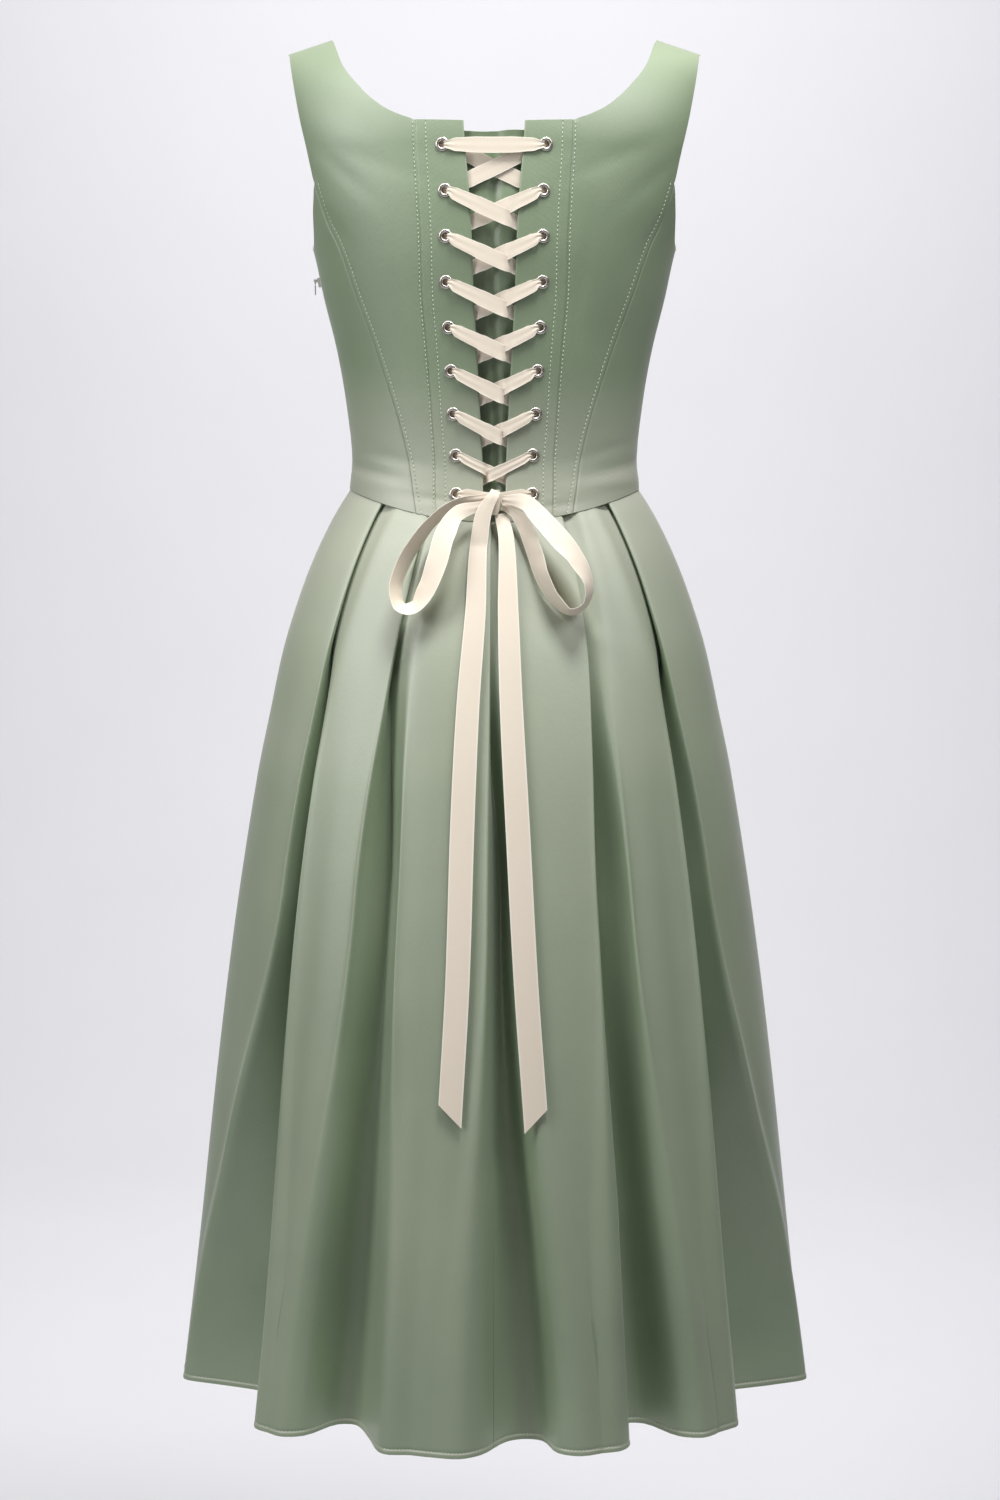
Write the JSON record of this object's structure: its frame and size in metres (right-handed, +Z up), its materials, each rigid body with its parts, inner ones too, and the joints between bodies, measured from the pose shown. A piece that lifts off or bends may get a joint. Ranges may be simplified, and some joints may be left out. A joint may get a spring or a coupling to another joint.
{
  "type": "corset dress",
  "caption": "Sleeveless dress with a fitted princess-seamed bodice, ribbon-laced centre back with a bow, and a pleated A-line midi skirt",
  "frame": {"origin": "midway between the two shoulder straps, under their crest, where the shoulders of a wearer carry the dress", "axes": "+Z up; the laced back faces -Y and the front +Y; the wearer's left side, with the zip, lies at -X"},
  "size_m": [0.5514, 0.4778, 1.1568],
  "materials": {
    "satin": "heavy sage-green duchess satin, soft sheen",
    "ribbon": "ivory double-faced satin ribbon",
    "nickel": "nickel-plated rolled brass",
    "zip_tape": "dyed woven polyester tape"
  },
  "bodies": {
    "dress": {"back_left": "satin", "back_right": "satin", "side_back_left": "satin", "side_back_right": "satin", "front_left": "satin", "front_right": "satin", "front_centre": "satin", "back_lacing_left": "satin", "back_lacing_right": "satin", "modesty_panel": "satin", "skirt_back_left": "satin", "skirt_back_right": "satin", "skirt_front": "satin", "lace_left": "ribbon", "lace_right": "ribbon", "bow_knot": "ribbon", "bow_loop_left": "ribbon", "bow_loop_right": "ribbon", "tail_left": "ribbon", "tail_right": "ribbon", "zip_slider": "nickel", "eyelet_left_1": "nickel", "eyelet_left_2": "nickel", "eyelet_left_3": "nickel", "eyelet_left_4": "nickel", "eyelet_left_5": "nickel", "eyelet_left_6": "nickel", "eyelet_left_7": "nickel", "eyelet_left_8": "nickel", "eyelet_left_9": "nickel", "eyelet_right_1": "nickel", "eyelet_right_2": "nickel", "eyelet_right_3": "nickel", "eyelet_right_4": "nickel", "eyelet_right_5": "nickel", "eyelet_right_6": "nickel", "eyelet_right_7": "nickel", "eyelet_right_8": "nickel", "eyelet_right_9": "nickel", "zip_tape": "zip_tape"},
    "pull_tab": {"zip_pull_tab": "nickel"}
  },
  "joints": [
    {"name": "pull_tab_hinge", "type": "hinge", "parent": "dress", "child": "pull_tab", "pos_m": [-0.1531, 0, -0.1955], "axis": [0, 1, 0], "range_deg": [0, 150]}
  ]
}
